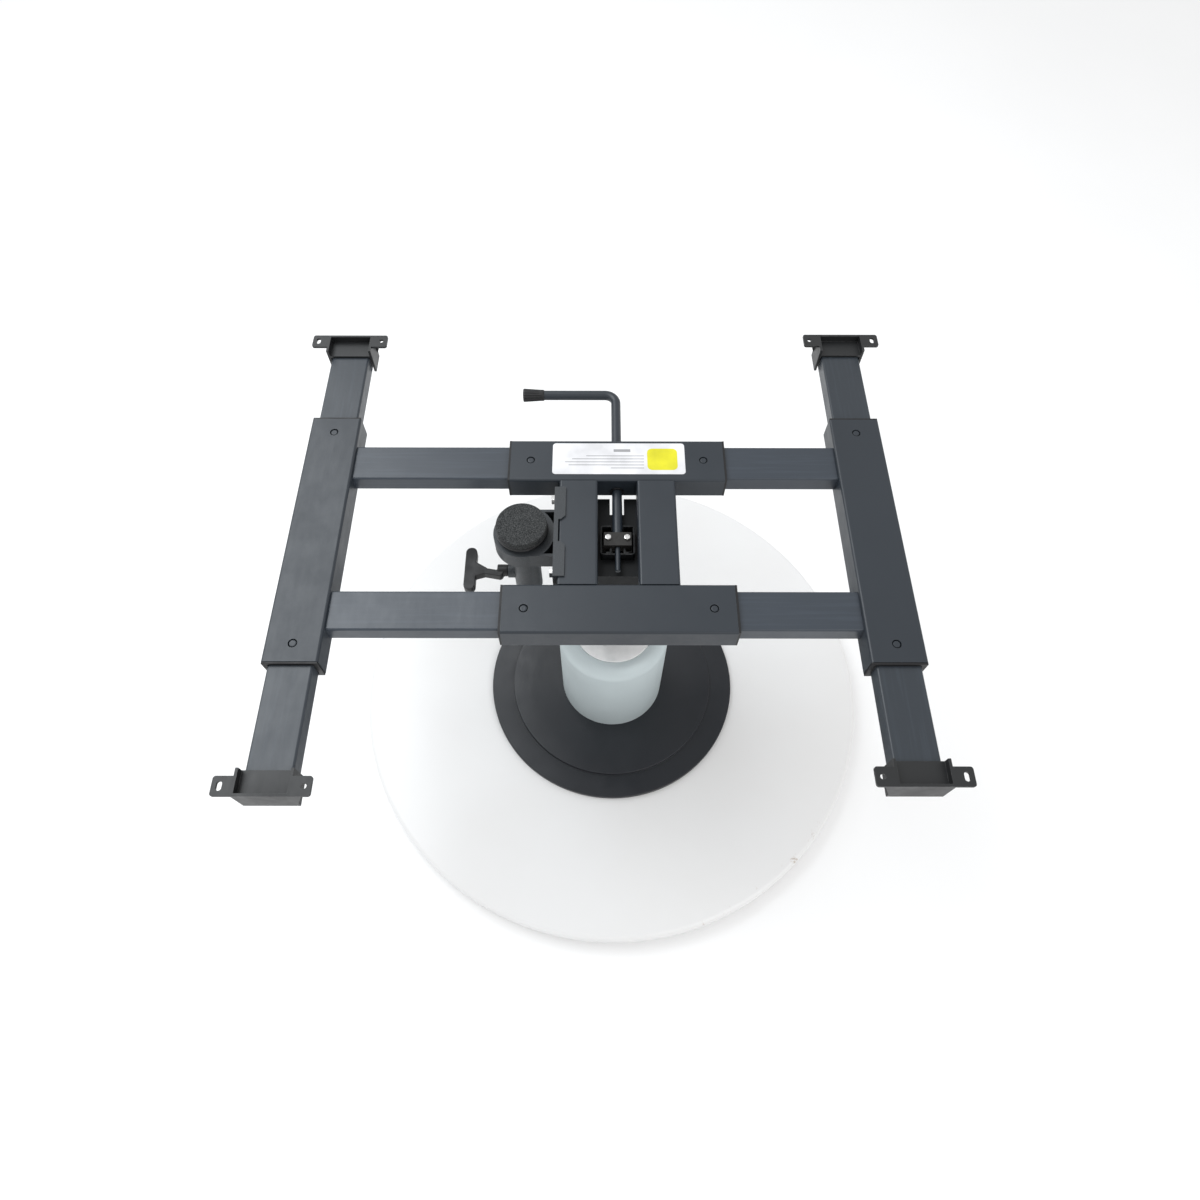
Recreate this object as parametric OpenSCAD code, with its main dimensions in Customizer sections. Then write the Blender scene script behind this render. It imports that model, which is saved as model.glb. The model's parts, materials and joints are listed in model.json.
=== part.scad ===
// Height-adjustable pedestal stand with a telescoping H-shaped top frame.
// Millimetres. X runs along the crossbars, Y along the side rails, Z up.
// The origin is on the floor, on the axis of the column.

/* [Base] */
// Diameter of the round base disc
disc_d = 776; // [600:4:900]
// Thickness of the base disc
disc_t = 36; // [24:1:50]
// Diameter of the flange that covers the column foot
flange_d = 380; // [300:2:440]
// Diameter of the raised step on the flange
step_d = 312; // [260:2:340]
// Thickness of the rubber sheet under the disc
pad_sheet_t = 4; // [3:1:6]

/* [Column] */
// Outer diameter of the column cover
column_d = 155; // [140:1:170]
// Height of the column cover above the disc
column_h = 200; // [180:1:210]
// Radius of the rounded shoulder of the column cover
shoulder_r = 21; // [12:1:24]

/* [Lift post] */
// Width of the square outer post
outer_post_w = 50; // [48:1:54]
// Width of the square inner post
inner_post_w = 40; // [40:1:42]

/* [Top frame] */
// Height of the top of the frame above the floor
frame_top = 481; // [470:1:500]
// Width of the outer tubes
sleeve_w = 60; // [58:1:64]
// Height of the outer tubes
sleeve_h = 32; // [31:1:34]
// Width of the inner tubes
arm_w = 48; // [46:1:48]
// Height of the inner tubes
arm_h = 22; // [20:1:22]
// Distance between the crossbar centres
crossbar_pitch = 200; // [196:2:220]
// Length of each crossbar sleeve
crossbar_l = 254; // [250:2:270]
// Length of each side rail sleeve
rail_l = 326; // [310:2:330]
// Distance from the column axis to the left rail centre
left_reach = 344; // [320:1:360]
// Distance from the column axis to the right rail centre
right_reach = 292; // [290:1:360]
// Distance from the crossbar middle plane to the front bracket edges, left side
front_left_reach = 306; // [290:1:330]
// The same distance for the front right bracket
front_right_reach = 296; // [290:1:330]
// The same distance for the back left bracket
back_left_reach = 297; // [290:1:330]
// The same distance for the back right bracket
back_right_reach = 300; // [290:1:330]

/* [Release lever] */
// Diameter of the lever rod
lever_d = 12; // [10:1:12]
// Sideways length of the bent arm, up to its grip
lever_arm = 92; // [70:1:110]

/* [Support post] */
// Distance from the column axis to the support post, towards the left
support_x = 110; // [108:1:114]
// Diameter of the support post
support_d = 28; // [24:1:28]
// Diameter of the rubber pad
pad_d = 58; // [52:1:60]

/* [Hidden] */
$fn = 96;
small_fn = 32;
eps = 0.01;
run_gap = 0.06;          // radial gap of a running fit

// base
disc_top = pad_sheet_t + disc_t;
disc_edge_r = 7;
pad_sheet_d = disc_d - 36;
base_plate_d = 236;
base_plate_t = 8;
base_plate_top = disc_top + base_plate_t;
base_bolt_circle_r = 90;
base_bolt_n = 4;
base_bolt_d = 10;
bolt_head_d = 16;
bolt_head_h = 10;
flange_rim_h = 7;
flange_step_h = 12;
flange_wall = 2;

// column
column_wall = 2;
column_top = disc_top + column_h;
cap_d = column_d - 2 * shoulder_r;
cap_t = 2.5;

// lift post
post_wall = 3;
post_r = 4;
outer_post_top = column_top + 48;
outer_post_in = outer_post_w - 2 * post_wall;
inner_post_wall = 2;
inner_post_top = frame_top - 20;
inner_post_bottom = base_plate_top + 66;
bush_l = 80;
bush_lip = 4;
bush_w = outer_post_in - 0.2;

// frame
sleeve_wall = 2.5;
sleeve_r = 3;
arm_wall = 2;
arm_r = 2.5;
sleeve_z = frame_top - sleeve_h / 2;
crossbar_y = crossbar_pitch / 2;
liner_l = 30;
liner_lip = 2.5;
liner_w = sleeve_w - 2 * sleeve_wall;
liner_h = sleeve_h - 2 * sleeve_wall;
arm_l = 246;             // crossbar arm, from its inner end to its rail
beam_w = 45;
beam_gap = 46;           // open width of the window between the beams
beam_x = (beam_gap + beam_w) / 2;
beam_l = crossbar_pitch - sleeve_w;
set_screw_d = 10;
set_screw_h = 4.2;
crossbar_screw_in = 24;
crossbar_screw_x = crossbar_l / 2 - crossbar_screw_in;
rail_screw_in = 21;
rail_screw_y = rail_l / 2 - rail_screw_in;
slide_l = 200;           // rail arm, from its inner end to its outer end
label_l = 158;
label_w = 46;
label_r = 4;
label_t = 0.3;
label_in = 2;

// head plate under the beams
head_plate_t = 6;
head_top = frame_top - sleeve_h;
head_w = 132;
head_front = -42;
head_back = 66;
head_slot_w = 17;
head_slot_l = 23;
head_lip_t = 3;
head_lip_h = 24;
head_bolt_x = 50;
head_bolt_y = [-27, 50];
head_bolt_d = 8;

// gas spring
gas_tube_d = 28;
gas_tube_wall = 2;
gas_tube_top = frame_top - 44;
gas_tube_l = 296;
gas_rod_d = 10;
gas_rod_top = base_plate_top + 214;
gas_clamp_h = 14;
piston_h = 12;
foot_d = 30;
foot_h = 9;

// release lever
lever_z = frame_top - 22.5;
lever_out = 92;          // from the back crossbar's outer side to the bent arm
lever_bend_r = 14;
lever_y = crossbar_y + sleeve_w / 2 + lever_out - lever_bend_r;
grip_l = 27;
grip_d1 = 14;
grip_d2 = 17;
block_w = 32;
block_y0 = -10;
block_y1 = 8;
block_h = 13;
block_bolt_x = 11;
block_bolt_d = 5;
block_head_d = 7.5;
block_head_h = 3;
journal_d = 6;
journal_end = -41;
tab_x = 7;               // from the lever's axis to each pivot tab
tab_t = 2;
tab_l = 6.5;
tab_foot = 6;
tab_h = 10;
block_tip = 2;           // how far the bolts stand below the block
lever_bush_d = 15;
valve_gap = 0.6;
valve_top = lever_z - block_h / 2 - block_tip - valve_gap;
valve_head_d = 30;
valve_head_h = 3;
valve_stem_d = 8;
valve_stem_l = 24;

// brackets
bracket_w = 96;
bracket_sheet = 3;
bracket_cup_w = 57;
end_top_x = 40;          // inner edge of the end wall at its top and at its foot
end_foot_x = 25;
ear_top = frame_top + 7;
ear_depth = 20;
ear_corner_r = 3;
bracket_depth = 28;
bracket_drop = 36;
bracket_pitch = 81;
bracket_hole_d = 5.5;
slot_l = 4;
arm_top = sleeve_z + arm_h / 2;

// support post
support_y = 6;
pad_top = frame_top + 4;
pad_t = 9;
cup_h = 8;
cup_d = pad_d + 2;
pad_edge_r = 1.5;
support_l = 210;
collar_top = frame_top - 14;
collar_h = 23;
collar_d = 67;
collar_half_w = 32;
collar_wall = 3.5;
collar_floor = 6;
collar_web = 25;
pocket_r = 37.5;
guide_d = 34;
guide_l = 92;
collar_bore = support_d + 2 * run_gap;
side_plate_x = -(beam_gap / 2 + beam_w);
side_plate_t = 5;
side_plate_l = 120;
side_plate_h = 46;
side_plate_y = -1;
clamp_bolt_y = [-47, 53];
plate_bolt_d = 6;
plate_head_d = 11;
plate_head_h = 4.5;
hook_over = 8;
hook_l = 45;
hook_cut = 5;
hook_t = 2.5;
clamp_screw_d = 8;
clamp_z = collar_top - 86;
boss_d = 18;
boss_l = 7;
clamp_x = -support_x - guide_d / 2 - boss_l;
handle_hub_d = 15;
handle_hub_l = 13;
handle_bar_l = 60;
handle_bar_w = 14;
handle_t = 11;
handle_reach = 46.5;     // from the hub's foot to the middle of the bar
handle_bend = 7;         // how far the elbow lies to the front of the hub's axis
handle_arm_w = 8;
handle_web_w = 26;
handle_gap = 0.4;
thread_l = 11;           // length of the clamp screw inside the handle's hub

// ---------- shared shapes ----------

// Rectangle with round corners, centred
module round_rect(w, h, r) {
    square([w - 2 * r, h], center = true);
    square([w, h - 2 * r], center = true);
    for (x = [-1, 1], y = [-1, 1])
        translate([x * (w / 2 - r), y * (h / 2 - r)]) circle(r = r, $fn = small_fn);
}

// Section of a rectangular tube
module tube_section(w, h, wall, r) {
    difference() {
        round_rect(w, h, r);
        square([w - 2 * wall, h - 2 * wall], center = true);
    }
}

// Rectangular tube along X, from x0 to x1
module tube_x(x0, x1, w, h, wall, r) {
    translate([x0, 0, 0]) rotate([90, 0, 90]) linear_extrude(x1 - x0)
        tube_section(w, h, wall, r);
}

// Rectangular tube along Y, from y0 to y1
module tube_y(y0, y1, w, h, wall, r) {
    translate([0, y1, 0]) rotate([90, 0, 0]) linear_extrude(y1 - y0)
        tube_section(w, h, wall, r);
}

// Flush set screw with a hexagon socket, its top at z = 0
module set_screw() {
    difference() {
        translate([0, 0, -set_screw_h]) cylinder(d = set_screw_d, h = set_screw_h);
        translate([0, 0, -2.2]) cylinder(d = 4.6, h = 3, $fn = 6);
    }
}

// Hexagon head screw pointing down, its head standing on z = 0
module hex_screw(d, head, head_h, length) {
    translate([0, 0, -length]) cylinder(d = d, h = length + eps);
    cylinder(d = head, h = head_h, $fn = 6);
}

// Plastic liner of a sleeve mouth, along X, its lip outside x = 0, with a hole
// for the set screw that stands screw_in inside the mouth
module liner_x(screw_in) {
    difference() {
        union() {
            translate([-liner_l / 2, 0, 0])
                cube([liner_l, liner_w, liner_h], center = true);
            translate([liner_lip / 2, 0, 0])
                cube([liner_lip, sleeve_w - 1.4, sleeve_h - 1.4], center = true);
        }
        cube([3 * liner_l, arm_w + 2 * run_gap, arm_h + 2 * run_gap], center = true);
        translate([-screw_in, 0, 0]) cylinder(d = set_screw_d, h = sleeve_h);
    }
}

// ---------- base ----------

module base_disc() {
    color("whitesmoke") difference() {
        rotate_extrude($fn = 180) {
            translate([0, pad_sheet_t]) square([disc_d / 2 - disc_edge_r, disc_t]);
            translate([0, pad_sheet_t + disc_edge_r])
                square([disc_d / 2, disc_t - 2 * disc_edge_r]);
            for (z = [pad_sheet_t + disc_edge_r, disc_top - disc_edge_r])
                translate([disc_d / 2 - disc_edge_r, z])
                    circle(r = disc_edge_r, $fn = small_fn);
        }
        for (i = [0 : base_bolt_n - 1]) rotate(45 + i * 360 / base_bolt_n)
            translate([base_bolt_circle_r, 0, 0]) {
                cylinder(d = base_bolt_d + 0.8, h = disc_top + 1);
                cylinder(d = bolt_head_d + 3, h = pad_sheet_t + bolt_head_h + 2);
            }
    }
}

module floor_pad() {
    color("dimgray") cylinder(d = pad_sheet_d, h = pad_sheet_t);
}

module base_plate() {
    color("gray") translate([0, 0, disc_top]) difference() {
        cylinder(d = base_plate_d, h = base_plate_t);
        for (i = [0 : base_bolt_n - 1]) rotate(45 + i * 360 / base_bolt_n)
            translate([base_bolt_circle_r, 0, -1])
                cylinder(d = base_bolt_d, h = base_plate_t + 2);
    }
}

module base_bolts() {
    head_z = pad_sheet_t + 2;
    color("silver") for (i = [0 : base_bolt_n - 1]) rotate(45 + i * 360 / base_bolt_n)
        translate([base_bolt_circle_r, 0, head_z]) difference() {
            union() {
                cylinder(d = bolt_head_d, h = bolt_head_h);
                cylinder(d = base_bolt_d, h = disc_top + base_plate_t - head_z);
            }
            translate([0, 0, -1]) cylinder(d = 9, h = 6, $fn = 6);
        }
}

module flange_cover() {
    foot_r = column_d / 2 - column_wall - 6;
    color([0.13, 0.14, 0.15]) translate([0, 0, disc_top]) difference() {
        rotate_extrude($fn = 180) difference() {
            polygon([[0, 0], [flange_d / 2, 0], [flange_d / 2, flange_rim_h - 1.5],
                [flange_d / 2 - 1.5, flange_rim_h], [step_d / 2, flange_rim_h],
                [step_d / 2, flange_step_h - 1.5], [step_d / 2 - 1.5, flange_step_h],
                [0, flange_step_h]]);
            translate([-1, -1])
                square([flange_d / 2 - flange_wall + 1, flange_rim_h - flange_wall + 1]);
            translate([-1, -1])
                square([step_d / 2 - flange_wall + 1, flange_step_h - flange_wall + 1]);
        }
        translate([0, 0, -1]) cylinder(r = foot_r, h = flange_step_h + 2);
    }
}

// ---------- column ----------

module column_cover() {
    body_r = column_d / 2;
    z0 = disc_top + flange_step_h;
    color([0.70, 0.74, 0.76]) rotate_extrude() difference() {
        union() {
            translate([0, z0]) square([body_r, column_top - shoulder_r - z0]);
            translate([0, z0]) square([body_r - shoulder_r, column_top - z0]);
            translate([body_r - shoulder_r, column_top - shoulder_r])
                circle(r = shoulder_r);
        }
        translate([-1, z0 - 1])
            square([body_r - column_wall + 1, column_top - shoulder_r - z0 + 1]);
        translate([body_r - shoulder_r, column_top - shoulder_r])
            circle(r = shoulder_r - column_wall);
        translate([-body_r, z0 - 1])
            square([2 * body_r - shoulder_r, column_top - z0 + 2]);
    }
}

module column_cap() {
    color([0.84, 0.84, 0.83]) difference() {
        union() {
            translate([0, 0, column_top - 0.5]) cylinder(d = cap_d - 0.8, h = cap_t);
            translate([0, 0, column_top - 10]) cylinder(d = cap_d - 0.8, h = 10);
        }
        translate([0, 0, column_top - 12])
            cylinder(d = cap_d - 6, h = 11);
        cube([outer_post_w + 0.6, outer_post_w + 0.6, 3 * column_top], center = true);
    }
}

module outer_post() {
    color([0.16, 0.17, 0.18]) translate([0, 0, base_plate_top])
        linear_extrude(outer_post_top - base_plate_top)
        tube_section(outer_post_w, outer_post_w, post_wall, post_r);
}

module guide_bush() {
    bore = inner_post_w + 2 * run_gap;
    color([0.1, 0.1, 0.1]) difference() {
        union() {
            translate([-bush_w / 2, -bush_w / 2, outer_post_top - bush_l])
                cube([bush_w, bush_w, bush_l]);
            translate([0, 0, outer_post_top]) linear_extrude(bush_lip)
                round_rect(outer_post_w, outer_post_w, post_r);
        }
        translate([0, 0, outer_post_top - bush_l - 1]) linear_extrude(bush_l + bush_lip + 2)
            square([bore, bore], center = true);
    }
}

module gas_rod() {
    color("silver") {
        translate([0, 0, base_plate_top]) cylinder(d = foot_d, h = foot_h);
        translate([0, 0, base_plate_top])
            cylinder(d = gas_rod_d, h = gas_rod_top - base_plate_top);
    }
}

module gas_piston() {
    color("gray") translate([0, 0, gas_rod_top]) difference() {
        cylinder(d = gas_tube_d - 2 * gas_tube_wall - 2 * run_gap, h = piston_h);
        for (z = [3, 8]) translate([0, 0, z]) difference() {
            cylinder(d = gas_tube_d, h = 1.5);
            translate([0, 0, -1]) cylinder(d = 21, h = 4);
        }
    }
}

// ---------- lift head ----------

module inner_post() {
    slot_w = lever_d + 2;
    slot_z = lever_z - lever_d / 2 - 2;
    notch_w = journal_d + 2 * run_gap;
    color([0.16, 0.17, 0.18]) difference() {
        translate([0, 0, inner_post_bottom])
            linear_extrude(inner_post_top - inner_post_bottom)
            tube_section(inner_post_w, inner_post_w, inner_post_wall, post_r);
        translate([-slot_w / 2, 0, slot_z])
            cube([slot_w, inner_post_w, inner_post_top - slot_z + 1]);
        translate([0, 0, lever_z]) rotate([90, 0, 0])
            cylinder(d = notch_w, h = inner_post_w);
        translate([-notch_w / 2, -inner_post_w, lever_z])
            cube([notch_w, inner_post_w, inner_post_top - lever_z + 1]);
    }
}

// Two angle tabs that keep the journal in its notch
module pivot_tabs() {
    wall_y = inner_post_wall - inner_post_w / 2;
    color([0.16, 0.17, 0.18]) for (side = [0, 1]) mirror([side, 0, 0])
        translate([tab_x, wall_y, inner_post_top - tab_h]) {
            cube([tab_t, tab_l, tab_h]);
            cube([tab_foot, tab_t, tab_h]);
        }
}

module head_plate() {
    color([0.16, 0.17, 0.18]) translate([0, 0, head_top - head_plate_t]) difference() {
        translate([-head_w / 2, head_front, 0]) {
            cube([head_w, head_back - head_front, head_plate_t]);
            translate([0, 0, head_plate_t - head_lip_h])
                cube([head_w, head_lip_t, head_lip_h]);
        }
        translate([-inner_post_w / 2, -inner_post_w / 2, -1])
            cube([inner_post_w, inner_post_w, head_plate_t + 2]);
        translate([-head_slot_w / 2, head_back - head_slot_l, -1])
            cube([head_slot_w, head_slot_l + 1, head_plate_t + 2]);
        for (x = [-1, 1], y = head_bolt_y) translate([x * head_bolt_x, y, -1])
            cylinder(d = head_bolt_d, h = head_plate_t + 2);
    }
}

module head_bolts() {
    color("silver") for (x = [-1, 1], y = head_bolt_y)
        translate([x * head_bolt_x, y, head_top - head_plate_t]) rotate([180, 0, 0])
            hex_screw(head_bolt_d, 14, 5.3, head_plate_t + sleeve_wall);
}

module gas_tube() {
    color([0.12, 0.12, 0.13]) translate([0, 0, gas_tube_top - gas_tube_l]) difference() {
        cylinder(d = gas_tube_d, h = gas_tube_l);
        translate([0, 0, 6])
            cylinder(d = gas_tube_d - 2 * gas_tube_wall, h = gas_tube_l - 36);
        translate([0, 0, -1]) cylinder(d = gas_rod_d + 2 * run_gap, h = 10);
        translate([0, 0, gas_tube_l - valve_stem_l - 4])
            cylinder(d = valve_stem_d + 2 * run_gap, h = valve_stem_l + 5);
    }
}

module gas_clamp() {
    inside = inner_post_w - 2 * inner_post_wall;
    color("gray") translate([0, 0, gas_tube_top - gas_clamp_h - 6]) difference() {
        translate([-inside / 2, -inside / 2, 0]) cube([inside, inside, gas_clamp_h]);
        translate([0, 0, -1]) cylinder(d = gas_tube_d, h = gas_clamp_h + 2);
    }
}

// ---------- frame ----------

// Crossbar sleeve with its two set screw holes, centred on the origin
module crossbar() {
    difference() {
        tube_x(-crossbar_l / 2, crossbar_l / 2, sleeve_w, sleeve_h, sleeve_wall, sleeve_r);
        for (x = [-1, 1]) translate([x * crossbar_screw_x, 0, 0])
            cylinder(d = set_screw_d, h = sleeve_h);
    }
}

module front_crossbar() {
    color([0.26, 0.28, 0.30]) translate([0, -crossbar_y, sleeve_z]) crossbar();
}

module back_crossbar() {
    color([0.26, 0.28, 0.30]) difference() {
        translate([0, crossbar_y, sleeve_z]) crossbar();
        translate([0, crossbar_y + sleeve_w, lever_z]) rotate([90, 0, 0])
            cylinder(d = lever_bush_d, h = 2 * sleeve_w);
    }
}

module beam(side) {
    color([0.26, 0.28, 0.30]) translate([side * beam_x, 0, sleeve_z]) difference() {
        tube_y(-beam_l / 2, beam_l / 2, beam_w, sleeve_h, sleeve_wall, sleeve_r);
        for (y = head_bolt_y)
            translate([side * (head_bolt_x - beam_x), y, -sleeve_h / 2 - 1])
                cylinder(d = head_bolt_d, h = sleeve_wall + 2);
        if (side < 0) for (y = clamp_bolt_y) translate([0, y, 0])
            rotate([0, -90, 0]) cylinder(d = plate_bolt_d, h = beam_w);
    }
}

module left_beam() {
    beam(-1);
}

module right_beam() {
    beam(1);
}

module crossbar_liners() {
    color([0.08, 0.08, 0.08]) for (x = [0, 1], y = [-1, 1])
        translate([0, y * crossbar_y, sleeve_z]) mirror([x, 0, 0])
            translate([crossbar_l / 2, 0, 0]) liner_x(crossbar_screw_in);
}

module crossbar_screws() {
    color([0.2, 0.2, 0.2]) for (x = [-1, 1], y = [-1, 1])
        translate([x * crossbar_screw_x, y * crossbar_y, frame_top - 0.3]) set_screw();
}

module rating_label() {
    color("white") translate([label_in, crossbar_y + label_in, frame_top])
        linear_extrude(label_t) round_rect(label_l, label_w, label_r);
}

// ---------- release lever ----------

module lever_bushes() {
    wall = sleeve_wall + 1.5;
    color([0.08, 0.08, 0.08]) for (side = [-1, 1])
        translate([0, crossbar_y + side * sleeve_w / 2, lever_z]) rotate([side * 90, 0, 0])
            difference() {
                union() {
                    translate([0, 0, -1.5]) cylinder(d = lever_bush_d + 2, h = 1.5);
                    translate([0, 0, -1.5]) cylinder(d = lever_bush_d, h = wall);
                }
                translate([0, 0, -4]) cylinder(d = lever_d + 2 * run_gap, h = wall + 8);
            }
}

module lever_rod() {
    bend_x = -lever_bend_r;
    color([0.30, 0.32, 0.35]) {
        translate([0, lever_y, lever_z]) rotate([90, 0, 0])
            cylinder(d = lever_d, h = lever_y - block_y0 - 4);
        translate([0, block_y0 + 4, lever_z]) rotate([90, 0, 0])
            cylinder(d = journal_d, h = block_y0 + 4 - journal_end);
        translate([bend_x, lever_y, lever_z]) rotate_extrude(angle = 90)
            translate([lever_bend_r, 0]) circle(d = lever_d, $fn = small_fn);
        translate([bend_x, lever_y + lever_bend_r, lever_z]) rotate([0, -90, 0])
            cylinder(d = lever_d, h = lever_arm + grip_l - 6 - lever_bend_r);
    }
}

module lever_grip() {
    grooves = 14;
    groove_w = 1.4;
    groove_depth = 0.8;
    color([0.07, 0.07, 0.07])
        translate([-lever_arm, lever_y + lever_bend_r, lever_z]) rotate([0, -90, 0])
        difference() {
            cylinder(d1 = grip_d1, d2 = grip_d2, h = grip_l);
            translate([0, 0, -1]) cylinder(d = lever_d, h = grip_l - 5);
            for (i = [0 : grooves - 1]) rotate(i * 360 / grooves)
                translate([grip_d2 / 2 - groove_depth, -groove_w / 2, 3])
                    cube([grip_d2, groove_w, grip_l]);
        }
}

module release_block() {
    color([0.2, 0.2, 0.21]) difference() {
        translate([-block_w / 2, block_y0, lever_z - block_h / 2])
            cube([block_w, block_y1 - block_y0, block_h]);
        translate([0, block_y1 + 1, lever_z]) rotate([90, 0, 0])
            cylinder(d = lever_d, h = block_y1 - block_y0 - 3);
        translate([0, block_y1, lever_z]) rotate([90, 0, 0])
            cylinder(d = journal_d, h = 2 * block_w);
        for (x = [-1, 1]) translate([x * block_bolt_x, 0, lever_z - block_h])
            cylinder(d = block_bolt_d, h = 2 * block_h);
    }
}

module block_bolts() {
    color("silver") for (x = [-1, 1])
        translate([x * block_bolt_x, 0, lever_z + block_h / 2])
            hex_screw(block_bolt_d, block_head_d, block_head_h, block_h + block_tip);
}

module valve_pin() {
    color("silver") {
        translate([0, 0, valve_top - valve_head_h])
            cylinder(d = valve_head_d, h = valve_head_h);
        translate([0, 0, valve_top - valve_head_h - valve_stem_l])
            cylinder(d = valve_stem_d, h = valve_stem_l + eps);
    }
}

// ---------- side frames ----------

// Crossbar arm that ends against a rail; side is -1 for left and 1 for right
module cross_arm(side, reach, y) {
    rail_side = reach - sleeve_w / 2;
    color([0.33, 0.36, 0.39]) translate([0, y, sleeve_z])
        mirror([side < 0 ? 1 : 0, 0, 0])
        tube_x(rail_side - arm_l, rail_side, arm_w, arm_h, arm_wall, arm_r);
}

// Rail sleeve with its two set screw holes
module rail(x) {
    color([0.26, 0.28, 0.30]) translate([x, 0, sleeve_z]) difference() {
        tube_y(-rail_l / 2, rail_l / 2, sleeve_w, sleeve_h, sleeve_wall, sleeve_r);
        for (y = [-1, 1]) translate([0, y * rail_screw_y, 0])
            cylinder(d = set_screw_d, h = sleeve_h);
    }
}

module rail_liners(x) {
    color([0.08, 0.08, 0.08]) for (y = [-1, 1]) translate([x, 0, sleeve_z])
        rotate(y * 90) translate([rail_l / 2, 0, 0]) liner_x(rail_screw_in);
}

module rail_screws(x) {
    color([0.2, 0.2, 0.2]) for (y = [-1, 1])
        translate([x, y * rail_screw_y, frame_top - 0.3]) set_screw();
}

module left_front_arm() {
    cross_arm(-1, left_reach, -crossbar_y);
}

module left_back_arm() {
    cross_arm(-1, left_reach, crossbar_y);
}

module left_rail() {
    rail(-left_reach);
}

module left_rail_liners() {
    rail_liners(-left_reach);
}

module left_rail_screws() {
    rail_screws(-left_reach);
}

module right_front_arm() {
    cross_arm(1, right_reach, -crossbar_y);
}

module right_back_arm() {
    cross_arm(1, right_reach, crossbar_y);
}

module right_rail() {
    rail(right_reach);
}

module right_rail_liners() {
    rail_liners(right_reach);
}

module right_rail_screws() {
    rail_screws(right_reach);
}

// ---------- rail slides and brackets ----------

// Places a corner that is drawn at the front right: side is -1 for left,
// face is -1 for front
module corner(side, face) {
    mirror([side < 0 ? 1 : 0, 0, 0]) mirror([0, face > 0 ? 1 : 0, 0]) children();
}

module slide(side, face, x, reach) {
    tube_end = reach - bracket_sheet;
    color([0.33, 0.36, 0.39]) corner(side, face) translate([x, 0, sleeve_z])
        tube_y(-tube_end, slide_l - tube_end, arm_w, arm_h, arm_wall, arm_r);
}

// One ear of a bracket, from the middle of the bracket out to x
module ear(x) {
    inner = bracket_cup_w / 2 - ear_corner_r;
    translate([x < 0 ? x : inner, 0]) translate([(abs(x) - inner) / 2, ear_depth / 2])
        round_rect(abs(x) - inner, ear_depth, ear_corner_r);
}

// Pressed bracket: end wall, two ears, two cheeks and a floor on the tube
module bracket(side, face, x, reach) {
    half = bracket_w / 2;
    cup = bracket_cup_w / 2;
    hole_x = bracket_pitch / 2;
    color([0.17, 0.18, 0.19]) corner(side, face) translate([x, -reach, 0]) {
        translate([0, bracket_sheet, 0]) rotate([90, 0, 0]) linear_extrude(bracket_sheet)
            polygon([[-end_top_x, ear_top], [-end_foot_x, ear_top - bracket_drop],
                [cup, ear_top - bracket_drop], [cup, ear_top]]);
        translate([0, 0, ear_top - bracket_sheet]) linear_extrude(bracket_sheet)
            difference() {
                union() {
                    ear(-half);
                    ear(half);
                }
                translate([-hole_x, ear_depth / 2]) circle(d = bracket_hole_d);
                for (s = [-1, 1]) translate([hole_x, (ear_depth + s * slot_l) / 2])
                    circle(d = bracket_hole_d);
                translate([hole_x, ear_depth / 2])
                    square([bracket_hole_d, slot_l], center = true);
            }
        for (s = [-1, 1])
            translate([s * (cup - bracket_sheet / 2), bracket_depth / 2,
                ear_top - bracket_drop / 2])
            cube([bracket_sheet, bracket_depth, bracket_drop], center = true);
        translate([-cup, 0, arm_top]) cube([2 * cup, bracket_depth, bracket_sheet]);
    }
}

module front_left_slide() {
    slide(-1, -1, left_reach, front_left_reach);
}

module front_left_bracket() {
    bracket(-1, -1, left_reach, front_left_reach);
}

module back_left_slide() {
    slide(-1, 1, left_reach, back_left_reach);
}

module back_left_bracket() {
    bracket(-1, 1, left_reach, back_left_reach);
}

module front_right_slide() {
    slide(1, -1, right_reach, front_right_reach);
}

module front_right_bracket() {
    bracket(1, -1, right_reach, front_right_reach);
}

module back_right_slide() {
    slide(1, 1, right_reach, back_right_reach);
}

module back_right_bracket() {
    bracket(1, 1, right_reach, back_right_reach);
}

// ---------- support post and its clamp ----------

// Plate on the side of the left beam, with two lips over the beam's top
module clamp_side_plate() {
    lip_w = side_plate_t + hook_over;
    color([0.2, 0.21, 0.22]) difference() {
        union() {
            translate([side_plate_x - side_plate_t, side_plate_y - side_plate_l / 2,
                frame_top - side_plate_h])
                cube([side_plate_t, side_plate_l, side_plate_h + hook_t]);
            for (s = [0, 1]) translate([side_plate_x - side_plate_t, side_plate_y, frame_top])
                mirror([0, s, 0]) translate([0, side_plate_l / 2 - hook_l, 0])
                linear_extrude(hook_t)
                polygon([[0, 0], [lip_w - hook_cut, 0], [lip_w, hook_cut],
                    [lip_w, hook_l], [0, hook_l]]);
        }
        for (y = clamp_bolt_y) translate([side_plate_x + 1, y, sleeve_z])
            rotate([0, -90, 0]) cylinder(d = plate_bolt_d, h = side_plate_t + 2);
    }
}

module clamp_plate_bolts() {
    shank_l = side_plate_t + sleeve_wall + 3;
    color("silver") for (y = clamp_bolt_y)
        translate([side_plate_x - side_plate_t, y, sleeve_z]) rotate([0, -90, 0])
            hex_screw(plate_bolt_d, plate_head_d, plate_head_h, shank_l);
}

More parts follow.
